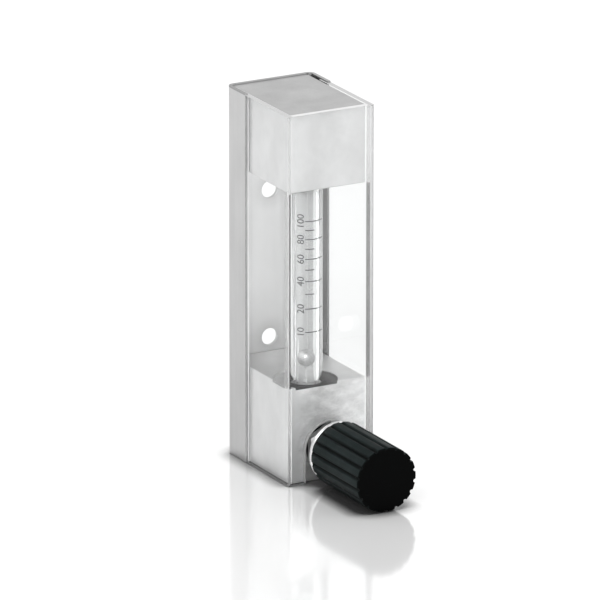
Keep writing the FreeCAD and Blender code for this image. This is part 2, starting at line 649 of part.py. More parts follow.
def make_knob_insert():
    """Metal bush in the knob that takes the spindle's shank."""
    body = valve_body("knob_insert")
    foot = f"({KNOB_FLOOR} - insert_lead)"
    turn(body, "Revolution", "bush", [
        ("shank_radius + fit_gap", foot), ("insert_radius", foot),
        ("insert_radius", f"{foot} + insert_length"), ("shank_radius + fit_gap", f"{foot} + insert_length"),
    ])
    drill(body, "grub_hole", "XZ_Plane", "0", "0", f"{KNOB_FLOOR} + grub_rise",
          "grub_radius + fit_gap", "2 * insert_radius", reverse=True)
    return body


def make_grub_screw():
    """Grub screw through the knob's underside onto the shank."""
    sideways = FreeCAD.Rotation(FreeCAD.Vector(1, 0, 0), 180)
    body = new_body("knob_grub_screw", "0", f"{BLOCK_FRONT} - {KNOB_FLOOR} - grub_rise",
                    "valve_height - shank_radius - fit_gap", sideways)
    turn(body, "Revolution", "screw", [
        ("0", "0"), ("grub_radius", "0"), ("grub_radius", "grub_length"), ("0", "grub_length"),
    ])
    drill(body, "socket", "XY_Plane", "grub_length", "0", "0", "grub_socket_radius", "grub_length / 2")
    return body


def make_block_screws():
    """Four countersunk screws through the channel, two into each block, as one group."""
    screws = []
    backwards = FreeCAD.Rotation(FreeCAD.Vector(1, 0, 0), 90)
    for name, x, z in SCREWS:
        head = doc.addObject("Part::Cone", name + "_cone")
        bind(head, "Radius1", "screw_head_radius")
        bind(head, "Radius2", "screw_radius")
        bind(head, "Height", "screw_head_cone")
        put(head, x, "body_depth / 2", z, backwards)
        shank = doc.addObject("Part::Cylinder", name + "_shank")
        bind(shank, "Radius", "screw_radius")
        bind(shank, "Height", "screw_length")
        put(shank, x, "body_depth / 2", z, backwards)
        blank = doc.addObject("Part::Fuse", name + "_blank")
        blank.Base = head
        blank.Tool = shank
        socket = doc.addObject("Part::Prism", name + "_socket")
        socket.Polygon = 6
        bind(socket, "Circumradius", f"screw_socket_radius / {math.cos(math.radians(30)):.9f}")
        bind(socket, "Height", "screw_socket_depth")
        put(socket, x, "body_depth / 2", z, backwards)
        screw = doc.addObject("Part::Cut", name)
        screw.Base = blank
        screw.Tool = socket
        screws.append(screw)
    group = doc.addObject("Part::Compound", "block_screws")
    group.Label = "block_screws"
    group.Links = screws
    nodes.append(group)


def write_nodes():
    """Check every feature and write each piece to its own file."""
    doc.recompute()
    for item in doc.Objects:
        if {"Invalid", "Error"} & set(item.State):
            raise ValueError(f"{item.Name} is {item.State}")
    for node in nodes:
        if node.Shape.isNull() or not node.Shape.isValid():
            raise ValueError(f"{node.Label} has no valid shape")
    os.makedirs("parts", exist_ok=True)
    for node in nodes:
        node.Shape.exportStep(f"parts/{node.Label}.step")
        print(f"{node.Label:20s} {node.Shape.Volume:10.1f} mm3, {len(node.Shape.Solids)} solid(s)")


make_rear_channel()
make_base_block()
make_head_block()
make_front_cover()
make_glass_tube()
make_lower_tube_seat()
make_upper_tube_seat()
make_gasket("lower_tube_gasket", "base_height - tube_entry - gasket_wall", "riser_radius")
make_gasket("upper_tube_gasket", f"{HEAD_FOOT} + tube_entry", "riser_radius")
make_float_stops()
make_float_ball()
make_valve_seat()
make_bonnet()
make_bonnet_washer()
make_bonnet_collar()
make_spindle()
make_knob()
make_knob_insert()
make_grub_screw()
make_block_screws()
write_nodes()
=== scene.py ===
import json
import math
from functools import partial

import bmesh
import bpy
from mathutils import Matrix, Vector


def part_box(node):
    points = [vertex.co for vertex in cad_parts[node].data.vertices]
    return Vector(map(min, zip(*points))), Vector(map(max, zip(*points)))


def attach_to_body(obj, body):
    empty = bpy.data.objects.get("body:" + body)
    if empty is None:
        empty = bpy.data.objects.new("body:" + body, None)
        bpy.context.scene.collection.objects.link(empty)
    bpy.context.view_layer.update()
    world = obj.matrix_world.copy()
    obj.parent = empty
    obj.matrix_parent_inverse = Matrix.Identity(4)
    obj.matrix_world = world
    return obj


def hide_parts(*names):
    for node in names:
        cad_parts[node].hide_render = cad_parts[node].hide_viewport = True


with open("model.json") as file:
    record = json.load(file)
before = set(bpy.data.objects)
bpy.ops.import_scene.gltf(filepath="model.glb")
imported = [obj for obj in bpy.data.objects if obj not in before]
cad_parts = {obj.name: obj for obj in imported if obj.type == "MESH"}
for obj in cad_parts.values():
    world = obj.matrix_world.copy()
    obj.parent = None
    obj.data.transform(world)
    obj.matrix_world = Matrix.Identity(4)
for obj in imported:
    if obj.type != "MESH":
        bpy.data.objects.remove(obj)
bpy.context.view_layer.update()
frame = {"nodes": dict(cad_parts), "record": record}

# ---------------------------------------------------------------------------------------------
# Rear channel. A strip of 1 mm stainless sheet, bent to a U and drilled, is the backbone of the
# meter: both blocks are screwed to its web, and its flanges hold the cover's tongues. The sheet
# keeps the fine upright grain of its rolling, and its cut edges are broken by hand.
# ---------------------------------------------------------------------------------------------
MM = 0.001
SHEET_WALL = 1.0 * MM
HALO_RADIUS = 6.5 * MM

channel_low, channel_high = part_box("rear_channel")
flange_inside = channel_high[0] - SHEET_WALL
web_front = channel_high[1] - SHEET_WALL
blocks_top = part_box("head_block")[1][2]
mounts = {mount["name"]: mount for mount in frame["record"]["mounts"]}
fixing = mounts["rear_mount_holes"]
hole_radius = fixing["dims"]["hole_r_mm"] * MM
hole_spacing = fixing["dims"]["spacing_y_mm"] * MM
hole_heights = [fixing["pos_m"][2] + side * hole_spacing / 2 for side in (-1, 1)]


def node_tree(material):
    """Empty a material's nodes and give back the tree with its output node."""
    material.use_nodes = True
    tree = material.node_tree
    tree.nodes.clear()
    return tree, tree.nodes.new("ShaderNodeOutputMaterial")


def grain(tree, scale, stretch, detail=4.0, roughness=0.6):
    """Noise on the piece's own coordinates, stretched to the direction of working."""
    place = tree.nodes.new("ShaderNodeTexCoord")
    mapping = tree.nodes.new("ShaderNodeMapping")
    mapping.inputs["Scale"].default_value = stretch
    noise = tree.nodes.new("ShaderNodeTexNoise")
    noise.inputs["Scale"].default_value = scale
    noise.inputs["Detail"].default_value = detail
    noise.inputs["Roughness"].default_value = roughness
    tree.links.new(place.outputs["Object"], mapping.inputs["Vector"])
    tree.links.new(mapping.outputs["Vector"], noise.inputs["Vector"])
    return noise.outputs["Fac"]


def ramp(tree, source, stops):
    """Spread a grey pattern over colours given as (position, grey or colour)."""
    node = tree.nodes.new("ShaderNodeValToRGB")
    while len(node.color_ramp.elements) < len(stops):
        node.color_ramp.elements.new(0.5)
    for element, (position, colour) in zip(node.color_ramp.elements, stops):
        element.position = position
        rgb = colour if isinstance(colour, tuple) else (colour, colour, colour)
        element.color = (*rgb, 1.0)
    tree.links.new(source, node.inputs["Fac"])
    return node.outputs["Color"]


def relief(tree, shader, source, depth, strength=1.0):
    """Raise a pattern off the surface by a depth in metres."""
    bump = tree.nodes.new("ShaderNodeBump")
    bump.inputs["Strength"].default_value = strength
    bump.inputs["Distance"].default_value = depth
    tree.links.new(source, bump.inputs["Height"])
    tree.links.new(bump.outputs["Normal"], shader.inputs["Normal"])


def ranged(tree, value, start, end, at_start, at_end):
    """A value that changes evenly while another goes from start to end."""
    span = tree.nodes.new("ShaderNodeMapRange")
    tree.links.new(value, span.inputs["Value"])
    limits = {"From Min": start, "From Max": end, "To Min": at_start, "To Max": at_end}
    for socket, limit in limits.items():
        span.inputs[socket].default_value = limit
    return span.outputs["Result"]


def zone(tree, axis, start, end, at_start=0.0, at_end=1.0):
    """A value that changes between two places along one of the piece's own axes."""
    place = tree.nodes.new("ShaderNodeTexCoord")
    parts = tree.nodes.new("ShaderNodeSeparateXYZ")
    tree.links.new(place.outputs["Object"], parts.inputs["Vector"])
    return ranged(tree, parts.outputs[axis], start, end, at_start, at_end)


def ring_zone(tree, centre, inner, outer, at_inner, at_outer):
    """A value that changes between two distances from an axis along Y."""
    place = tree.nodes.new("ShaderNodeTexCoord")
    centred = tree.nodes.new("ShaderNodeMapping")
    centred.inputs["Location"].default_value = (-centre[0], 0.0, -centre[2])
    centred.inputs["Scale"].default_value = (1.0, 0.0, 1.0)
    reach = tree.nodes.new("ShaderNodeVectorMath")
    reach.operation = "LENGTH"
    tree.links.new(place.outputs["Object"], centred.inputs["Vector"])
    tree.links.new(centred.outputs["Vector"], reach.inputs[0])
    return ranged(tree, reach.outputs["Value"], inner, outer, at_inner, at_outer)


def combined(tree, operation, first, *others):
    """Join values one after another by arithmetic, or change a single one."""
    for other in others or (None,):
        step = tree.nodes.new("ShaderNodeMath")
        step.operation = operation
        for socket, value in zip(step.inputs, (first, other)):
            if isinstance(value, (int, float)):
                socket.default_value = value
            elif value is not None:
                tree.links.new(value, socket)
        first = step.outputs[0]
    return first


def toned(tree, colour, tone):
    """Darken or lighten a colour by a pattern of place, where there is one."""
    if not tone:
        return colour
    step = tree.nodes.new("ShaderNodeVectorMath")
    step.operation = "SCALE"
    tree.links.new(colour, step.inputs[0])
    tree.links.new(tone(tree), step.inputs["Scale"])
    return step.outputs[0]


def metal(name, colours, roughness, grain_scale, stretch, depth, mottle_scale=60.0, tone=None):
    """Worked metal: colours drift slowly, roughness and relief follow the grain."""
    material = bpy.data.materials.new(name)
    tree, output = node_tree(material)
    shader = tree.nodes.new("ShaderNodeBsdfPrincipled")
    shader.inputs["Metallic"].default_value = 1.0
    fine = grain(tree, grain_scale, stretch)
    slow = grain(tree, mottle_scale, (1.0, 1.0, 0.7), detail=5.0)
    colour = toned(tree, ramp(tree, slow, [(0.3, colours[0]), (0.7, colours[1])]), tone)
    tree.links.new(colour, shader.inputs["Base Color"])
    polish = ramp(tree, fine, [(0.3, roughness[0]), (0.7, roughness[1])])
    tree.links.new(polish, shader.inputs["Roughness"])
    relief(tree, shader, fine, depth)
    tree.links.new(shader.outputs["BSDF"], output.inputs["Surface"])
    return material


def placed(name, data):
    """Put a piece's mesh, or a lamp or camera, into the scene."""
    piece = bpy.data.objects.new(name, data)
    bpy.context.collection.objects.link(piece)
    return piece


def worked_copy(node, name, edge, smooth=math.radians(32)):
    """A joined-up copy of a node's solid with its sharp edges broken to a small radius."""
    mesh = frame["nodes"][node].data.copy()
    mesh.name = name
    form = bmesh.new()
    form.from_mesh(mesh)
    bmesh.ops.remove_doubles(form, verts=form.verts, dist=0.002 * MM)
    bmesh.ops.dissolve_limit(form, angle_limit=math.radians(0.5), verts=form.verts,
                             edges=form.edges)
    for face in form.faces:
        face.smooth = True
    for line in form.edges:
        line.smooth = len(line.link_faces) == 2 and line.calc_face_angle(0.0) < smooth
    form.to_mesh(mesh)
    form.free()
    mesh.materials.clear()
    piece = placed(name, mesh)
    if edge:
        broken = piece.modifiers.new("broken_edges", "BEVEL")
        broken.width = edge
        broken.segments = 2
        broken.limit_method = "ANGLE"
        broken.angle_limit = smooth
        broken.use_clamp_overlap = True
    evened = piece.modifiers.new("even_shading", "WEIGHTED_NORMAL")
    evened.keep_sharp = not edge
    return piece


def attach(piece, body, material=None):
    """Give a finished piece its material and the body it moves with."""
    if material:
        piece.data.materials.append(material)
    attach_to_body(piece, body)


def fit(piece, node, body, material=None):
    """Attach a finished piece in place of the node it stands for."""
    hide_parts(node)
    attach(piece, body, material)


def second_finish(piece, material, chosen):
    """Give the faces that a test picks out another material."""
    piece.data.materials.append(material)
    for face in piece.data.polygons:
        if chosen(face):
            face.material_index = len(piece.data.materials) - 1


def sheet_tone(tree):
    """Darker low down, painted lighter inside; painted shade on its top, hole rings and right
    flange.
    """
    upper = zone(tree, "Z", 0.0, 100 * MM, at_start=0.82, at_end=0.99)
    # Painted light: the channel's inside is lighter than its outer flanks, more so higher up.
    painted_inside_light = combined(
        tree, "MULTIPLY",
        zone(tree, "X", -flange_inside - 0.02 * MM, -flange_inside + 0.02 * MM),
        zone(tree, "Y", web_front + 0.05 * MM, web_front + 0.1 * MM, at_start=1.0, at_end=0.0),
        zone(tree, "Z", 32 * MM, 52 * MM, at_start=0.06, at_end=0.22),
    )
    # Painted shade on the right flange's inside, below the blocks' top.
    painted_flange_shade = combined(
        tree, "MULTIPLY",
        zone(tree, "X", flange_inside - 0.1 * MM, flange_inside - 0.05 * MM),
        zone(tree, "X", channel_high[0] - 0.04 * MM, channel_high[0] - 0.02 * MM,
             at_start=-0.72, at_end=0.0),
        zone(tree, "Z", blocks_top - 0.1 * MM, blocks_top + 0.2 * MM, at_start=1.0, at_end=0.1),
    )
    # Painted shade on the channel above the blocks' top.
    painted_rim_shade = zone(tree, "Z", blocks_top - 0.1 * MM, blocks_top, at_start=0.0, at_end=-0.4)
    # Painted shade in rings round the fixing holes.
    painted_hole_shades = [ring_zone(tree, (0.0, 0.0, height), hole_radius, HALO_RADIUS,
                       at_inner=-0.2, at_outer=0.0) for height in hole_heights]
    return combined(tree, "ADD", upper, painted_inside_light, painted_flange_shade, painted_rim_shade, *painted_hole_shades)


sheet_steel = metal("rolled_sheet_steel", colours=(0.54, 0.6), roughness=(0.3, 0.44),
                    grain_scale=900.0, stretch=(1.0, 1.0, 0.03), depth=0.006 * MM,
                    tone=sheet_tone)
ground_edge = metal("ground_sheet_edge", colours=(0.42, 0.52), roughness=(0.7, 0.85),
                    grain_scale=1500.0, stretch=(1.0, 1.0, 0.2), depth=0.004 * MM)
ground_edge.node_tree.nodes["Principled BSDF"].inputs["Metallic"].default_value = 0.2
channel = worked_copy("rear_channel", "channel_sheet", edge=0.08 * MM)
fit(channel, "rear_channel", "housing", sheet_steel)
second_finish(channel, ground_edge, lambda face: (
    face.normal.y < -0.9 and face.center.y < channel_low[1] + 0.1 * MM and face.center.x < 0
))

# ---------------------------------------------------------------------------------------------
# Lower and upper block. Both are milled from stainless bar, drilled for the flow and blasted to
# a soft satin; shade and cloudy reflections are painted on their faces. Their rear ports are
# tapped for pipe fittings, and each block is held to the channel by two countersunk screws.
# ---------------------------------------------------------------------------------------------
THREAD_MINOR = 4.285 * MM
THREAD_MAJOR = 4.86 * MM
THREAD_PITCH = 0.907 * MM
TRIANGLE_SPAN = 1.5  # height of a three-sided section, in radii of its corners
PORT_DEPTH = 8.0 * MM

blocks_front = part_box("base_block")[0][1]
window_low, window_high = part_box("base_block")[1][2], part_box("head_block")[0][2]


def block_tone(tree):
    """Painted shade on the tops, painted reflections in wisps on the lower front, lighter upper
    sides.
    """
    # Painted shade on the upper block's top.
    painted_top_shade = zone(tree, "Z", blocks_top - 0.2 * MM, blocks_top - 0.1 * MM, at_start=0.0, at_end=-0.38)
    # Painted shade on the lower block's top, towards its left.
    painted_shelf_shade = combined(
        tree, "MULTIPLY",
        zone(tree, "Z", window_low - 0.15 * MM, window_low - 0.1 * MM),
        zone(tree, "Z", window_low + 0.2 * MM, window_low + 0.3 * MM, at_start=1.0, at_end=0.0),
        zone(tree, "X", -11 * MM, 3 * MM, at_start=-0.38, at_end=0.0),
    )
    # Painted reflections: cloudy wisps on the lower block's front, lighter towards both ends.
    wisp_noise = grain(tree, 260.0, (1.0, 0.3, 1.8), detail=3.0, roughness=0.7)
    wisps = combined(tree, "SUBTRACT", wisp_noise, 0.46)
    left = zone(tree, "X", -12 * MM, -3 * MM, at_start=0.6, at_end=-0.1)
    right = zone(tree, "X", 2 * MM, 9 * MM, at_start=0.0, at_end=0.24)
    painted_wisp_reflections = combined(
        tree, "MULTIPLY",
        combined(tree, "ADD", wisps, left, right),
        zone(tree, "Y", blocks_front + 0.1 * MM, blocks_front + 0.2 * MM, at_start=0.8, at_end=0.0),
        zone(tree, "Z", window_low - 1 * MM, window_low, at_start=1.0, at_end=0.1),
    )
    # Painted light: the upper block's sides are lighter than its front.
    painted_head_side_light = combined(
        tree, "MULTIPLY",
        zone(tree, "Z", 60 * MM, 80 * MM),
        zone(tree, "Y", blocks_front + 0.1 * MM, blocks_front + 0.2 * MM,
             at_start=-0.02, at_end=0.06),
    )
    return combined(tree, "ADD", painted_top_shade, painted_shelf_shade, painted_wisp_reflections, painted_head_side_light, 1.0)


block_steel = metal("blasted_block_steel", colours=(0.7, 0.82), roughness=(0.46, 0.6),
                    grain_scale=2600.0, stretch=(1.0, 1.0, 1.0), depth=0.004 * MM,
                    mottle_scale=110.0, tone=block_tone)


def open_port(piece, mount):
    """Widen a port to its thread's root, so that the thread's ridge can stand inside it."""
    centre = Vector(mount["pos_m"])
    for vertex in piece.data.vertices:
        across = Vector((vertex.co.x - centre.x, 0.0, vertex.co.z - centre.z))
        on_wall = abs(across.length - THREAD_MINOR) < 0.02 * MM
        if on_wall and abs(vertex.co.y - centre.y) < PORT_DEPTH:
            vertex.co += across.normalized() * (THREAD_MAJOR - THREAD_MINOR)


def sized_tree(name, inputs):
    """An empty geometry-nodes tree with named inputs, and the node that gives them."""
    tree = bpy.data.node_groups.new(name, "GeometryNodeTree")
    tree.interface.new_socket("Geometry", in_out="OUTPUT", socket_type="NodeSocketGeometry")
    for label, kind in inputs.items():
        tree.interface.new_socket(label, in_out="INPUT", socket_type="NodeSocket" + kind)
    return tree, tree.nodes.new("NodeGroupInput")


def end_tree(tree, into, geometry):
    """End a tree: instances are made real and the whole gets its material."""
    whole = tree.nodes.new("GeometryNodeRealizeInstances")
    coat = tree.nodes.new("GeometryNodeSetMaterial")
    out = tree.nodes.new("NodeGroupOutput")
    tree.links.new(geometry, whole.inputs["Geometry"])
    tree.links.new(whole.outputs["Geometry"], coat.inputs["Geometry"])
    tree.links.new(into.outputs["Material"], coat.inputs["Material"])
    tree.links.new(coat.outputs["Geometry"], out.inputs["Geometry"])
    return tree


def swept(tree, path, section):
    """Sweep a closed section along an upright path, with capped ends."""
    upright = tree.nodes.new("GeometryNodeSetCurveNormal")
    upright.mode = "Z_UP"
    sweep = tree.nodes.new("GeometryNodeCurveToMesh")
    sweep.inputs["Fill Caps"].default_value = True
    tree.links.new(path, upright.inputs["Curve"])
    tree.links.new(upright.outputs["Curve"], sweep.inputs["Curve"])
    tree.links.new(section.outputs["Curve"], sweep.inputs["Profile Curve"])
    return sweep.outputs["Mesh"]


def thread_tree():
    """Geometry nodes that wind a V-shaped ridge along +Y, with its sizes as inputs."""
    tree, into = sized_tree("pipe_thread", {
        "Root Radius": "Float", "Ridge": "Float", "Pitch": "Float", "Length": "Float",
        "Mouth": "Vector", "Material": "Material",
    })
    link = tree.links.new
    path = tree.nodes.new("GeometryNodeCurveSpiral")
    path.inputs["Resolution"].default_value = 40
    section = tree.nodes.new("GeometryNodeCurvePrimitiveCircle")
    section.inputs["Resolution"].default_value = 3
    turned = tree.nodes.new("GeometryNodeTransform")
    turned.inputs["Rotation"].default_value = (math.radians(90), 0.0, 0.0)
    turns = combined(tree, "DIVIDE", into.outputs["Length"], into.outputs["Pitch"])
    link(turns, path.inputs["Rotations"])
    link(into.outputs["Root Radius"], path.inputs["Start Radius"])
    link(into.outputs["Root Radius"], path.inputs["End Radius"])
    link(into.outputs["Length"], path.inputs["Height"])
    link(into.outputs["Ridge"], section.inputs["Radius"])
    link(swept(tree, path.outputs["Curve"], section), turned.inputs["Geometry"])
    link(into.outputs["Mouth"], turned.inputs["Translation"])
    return end_tree(tree, into, turned.outputs["Geometry"])


def applied(piece, modifier):
    """Keep what a modifier makes of a piece as its plain mesh, without the modifier."""
    bpy.context.view_layer.update()
    seen = piece.evaluated_get(bpy.context.evaluated_depsgraph_get())
    mesh = bpy.data.meshes.new_from_object(seen)
    piece.modifiers.remove(modifier)
    piece.data = mesh
    return piece


def grown(name, tree, sizes, base=None):
    """Run a geometry-nodes tree with named sizes and keep its result as a plain mesh."""
    host = placed(name, base or bpy.data.meshes.new(name))
    nodes = host.modifiers.new(name, "NODES")
    nodes.node_group = tree
    for item in tree.interface.items_tree:
        if item.in_out == "INPUT" and item.name in sizes:
            nodes[item.identifier] = sizes[item.name]
    return applied(host, nodes)


pipe_thread = thread_tree()
for node, mount_name in (("base_block", "inlet_port"), ("head_block", "outlet_port")):
    block = worked_copy(node, node + "_body", edge=0.12 * MM)
    open_port(block, mounts[mount_name])
    fit(block, node, "housing", block_steel)
    port = mounts[mount_name]["pos_m"]
    thread = grown(mount_name + "_thread", pipe_thread, {
        "Root Radius": THREAD_MAJOR,
        "Ridge": (THREAD_MAJOR - THREAD_MINOR) / TRIANGLE_SPAN,
        "Pitch": THREAD_PITCH,
        "Length": PORT_DEPTH - THREAD_PITCH,
        "Mouth": (port[0], port[1] + PORT_DEPTH / 2, port[2]),
        "Material": block_steel,
    })
    attach(thread, "housing")

# ---------------------------------------------------------------------------------------------
# Block screws. Four M3 countersunk screws of stainless steel, turned and with a hexagon socket,
# go in from behind and pull the blocks against the channel's web.
# ---------------------------------------------------------------------------------------------
turned_steel = metal("turned_steel", colours=(0.56, 0.64), roughness=(0.2, 0.32),
                     grain_scale=1500.0, stretch=(0.3, 1.0, 0.3), depth=0.003 * MM)
fit(worked_copy("block_screws", "countersunk_screws", edge=0.05 * MM), "block_screws", "housing",
    turned_steel)

# ---------------------------------------------------------------------------------------------
# Tube seats and gaskets. Moulded black rubber holds both ends of the measuring tube. The lower
# seat has a round pad let into the block's top, trimmed flush with the block's front and side.
# ---------------------------------------------------------------------------------------------
PAD_ACROSS = (0.88, -0.47, 0.0)
PAD_PALE_FROM = -3.65 * MM
PAD_PALE_BLEND = 0.3 * MM


def moulded(name, colours, roughness, scale, depth, gloss=0.5, tone=None):
    """Moulded rubber or plastic: a fine skin texture with slight drift in colour and gloss."""
    material = bpy.data.materials.new(name)
    tree, output = node_tree(material)
    shader = tree.nodes.new("ShaderNodeBsdfPrincipled")
    shader.inputs["Specular IOR Level"].default_value = gloss
    fine = grain(tree, scale, (1.0, 1.0, 1.0))
    slow = grain(tree, scale * 0.08, (1.0, 1.0, 1.0))
    colour = toned(tree, ramp(tree, slow, [(0.3, colours[0]), (0.7, colours[1])]), tone)
    tree.links.new(colour, shader.inputs["Base Color"])
    skin = ramp(tree, slow, [(0.3, roughness[0]), (0.7, roughness[1])])
    tree.links.new(skin, shader.inputs["Roughness"])
    relief(tree, shader, fine, depth)
    tree.links.new(shader.outputs["BSDF"], output.inputs["Surface"])
    return material


def pad_tone(tree):
    """The pad is pale grey left of a line by the tube; a painted reflection makes its right paler.
    """
    place = tree.nodes.new("ShaderNodeTexCoord")
    across = tree.nodes.new("ShaderNodeVectorMath")
    across.operation = "DOT_PRODUCT"
    across.inputs[1].default_value = PAD_ACROSS
    tree.links.new(place.outputs["Object"], across.inputs[0])
    pale_left = ranged(tree, across.outputs["Value"], PAD_PALE_FROM - PAD_PALE_BLEND, PAD_PALE_FROM,
                  at_start=50.0, at_end=1.0)
    # Painted reflection: paler to the right of the tube.
    return combined(tree, "ADD", pale_left, zone(tree, "X", -1 * MM, 3 * MM, at_start=0.0, at_end=15.0))


black_rubber = moulded("black_rubber", colours=(0.004, 0.009), roughness=(0.4, 0.55),
                       scale=1800.0, depth=0.004 * MM, gloss=0.04)
pad_rubber = moulded("seat_pad_rubber", colours=(0.004, 0.007), roughness=(0.5, 0.7),
                     scale=1800.0, depth=0.004 * MM, gloss=0.02, tone=pad_tone)
for node, name, rubber in (("lower_tube_seat", "lower_seat_moulding", pad_rubber),
                           ("upper_tube_seat", "upper_seat_moulding", black_rubber)):
    fit(worked_copy(node, name, edge=0.08 * MM), node, "housing", rubber)
for node in ("lower_tube_gasket", "upper_tube_gasket"):
    gasket = worked_copy(node, node + "_ring", edge=0.03 * MM)
    fit(gasket, node, "housing", black_rubber)

# ---------------------------------------------------------------------------------------------
# Measuring tube. Drawn borosilicate glass with a bore that widens upwards; the ends are ground
# flat and their edges fire-polished. It stands in the lower seat and is capped by the upper one.
# ---------------------------------------------------------------------------------------------
BORE_FOOT = 2.8 * MM
BORE_HEAD = 3.2 * MM
TUBE_EDGE = 0.3 * MM
WAIST_DEPTH = 1.4 * MM
WAIST_HEIGHT = 4.2 * MM
WAIST_FLARE = 0.9 * MM
WAIST_STEPS = 10

tube_low, tube_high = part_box("glass_tube")
tube_x = (tube_low[0] + tube_high[0]) / 2
tube_y = (tube_low[1] + tube_high[1]) / 2
tube_radius = (tube_high[0] - tube_low[0]) / 2


def clear(name, ior, colour, roughness, streak, clearness=1.0):
    """Clear wall that bends what is behind it and lets the lamps' light through."""
    material = bpy.data.materials.new(name)
    tree, output = node_tree(material)
    shader = tree.nodes.new("ShaderNodeBsdfPrincipled")
    shader.inputs["Base Color"].default_value = (*colour, 1.0)
    shader.inputs["Transmission Weight"].default_value = clearness
    shader.inputs["IOR"].default_value = ior
    shader.inputs["Coat Weight"].default_value = 1.0
    shader.inputs["Coat IOR"].default_value = 1.49
    shader.inputs["Coat Roughness"].default_value = 0.02
    drawn = grain(tree, 220.0, (1.0, 1.0, 0.05))
    cloud = ramp(tree, drawn, [(0.35, roughness[0]), (0.75, roughness[1])])
    tree.links.new(cloud, shader.inputs["Roughness"])
    relief(tree, shader, drawn, streak)
    lit = tree.nodes.new("ShaderNodeBsdfTransparent")
    lit.inputs["Color"].default_value = (*colour, 1.0)
    rays = tree.nodes.new("ShaderNodeLightPath")
    mix = tree.nodes.new("ShaderNodeMixShader")
    tree.links.new(rays.outputs["Is Shadow Ray"], mix.inputs["Fac"])
    tree.links.new(shader.outputs["BSDF"], mix.inputs[1])
    tree.links.new(lit.outputs["BSDF"], mix.inputs[2])
    tree.links.new(mix.outputs["Shader"], output.inputs["Surface"])
    return material


def meshed(name, form):
    """Put a finished form into the scene as a piece."""
    mesh = bpy.data.meshes.new(name)
    form.to_mesh(mesh)
    form.free()
    return placed(name, mesh)


def revolved(name, outline, centre, axis="Z", steps=96):
    """Turn an outline of (radius, place along the axis) about an axis through a centre."""
    form = bmesh.new()
    rings = []
    for radius, along in outline:
        ring = []
        for step in range(steps if radius > 1e-7 else 1):
            angle = 2 * math.pi * step / steps
            across = (radius * math.cos(angle), radius * math.sin(angle))
            if axis == "Z":
                place = (centre[0] + across[0], centre[1] + across[1], along)
            else:
                place = (centre[0] + across[0], along, centre[2] + across[1])
            ring.append(form.verts.new(place))
        rings.append(ring)
    for first, second in zip(rings, rings[1:]):
        for step in range(steps):
            after = (step + 1) % steps
            corners = [first[step % len(first)], first[after % len(first)],
                       second[after % len(second)], second[step % len(second)]]
            form.faces.new(list(dict.fromkeys(corners)))
    bmesh.ops.remove_doubles(form, verts=form.verts, dist=1e-8)
    bmesh.ops.recalc_face_normals(form, faces=form.faces)
    for face in form.faces:
        face.smooth = True
    for line in form.edges:
        line.smooth = len(line.link_faces) == 2 and line.calc_face_angle(0.0) < math.radians(40)
    return meshed(name, form)


def rounded(corner, inward, upward, radius, steps=4):
    """Points of a quarter round at a corner of an outline, from its upright to its level side."""
    points = []
    for step in range(steps + 1):
        angle = math.pi / 2 * step / steps
        points.append((corner[0] + inward * radius * (1 - math.cos(angle)),
                       corner[1] + upward * radius * (1 - math.sin(angle))))
    return points


seat_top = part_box("lower_tube_seat")[1][2]
waist_angles = [math.pi / 2 * step / WAIST_STEPS for step in range(WAIST_STEPS + 1)]
waist = [(tube_radius - WAIST_DEPTH * (1 - math.sin(angle)),
          seat_top + WAIST_HEIGHT * (1 - math.cos(angle))) for angle in waist_angles]
tube_outline = [
    (BORE_FOOT, tube_low[2] + TUBE_EDGE), (BORE_FOOT + TUBE_EDGE / 2, tube_low[2]),
    *reversed(rounded((tube_radius, tube_low[2]), -1, 1, TUBE_EDGE)),
    (tube_radius, seat_top - WAIST_FLARE), *waist,
    *rounded((tube_radius, tube_high[2]), -1, -1, TUBE_EDGE),
    (BORE_HEAD + TUBE_EDGE / 2, tube_high[2]), (BORE_HEAD, tube_high[2] - TUBE_EDGE),
    (BORE_FOOT, tube_low[2] + TUBE_EDGE),
]
tube_glass = clear("drawn_tube_glass", ior=1.3, colour=(0.985, 0.99, 0.99), roughness=(0.0, 0.02),
                   streak=0.001 * MM, clearness=0.86)
tube = revolved("measuring_tube", tube_outline, (tube_x, tube_y, 0.0))
fit(tube, "glass_tube", "housing", tube_glass)

# ---------------------------------------------------------------------------------------------
# Scale. Marks and plain numbers are screen-printed on the tube's front in dark ceramic ink and
# fired on. The marks draw closer towards the top, as the bore's taper asks; the numbers stand
# on their side to the left of the long marks.
# ---------------------------------------------------------------------------------------------
MARK_COUNT = 10
MARK_FOOT = 44.4 * MM
MARK_SPAN = 33.2 * MM
MARK_CLOSING = 0.71
MARK_STROKE = 0.26 * MM
INK_THICKNESS = 0.03 * MM
MARK_START = math.radians(-32)
LONG_MARK = math.radians(75)
SHORT_MARK = math.radians(33)
NUMBER_BASE = math.radians(-37)
NUMBER_SIZE = 2.9 * MM
NUMBER_SLICES = 12
NUMBERS = {0: "10", 1: "20", 3: "40", 5: "60", 7: "80", 9: "100"}  # by mark, from the foot

ink = moulded("fired_scale_ink", colours=(0.05, 0.08), roughness=(0.8, 0.9), scale=2500.0,
              depth=0.001 * MM, gloss=0.03)


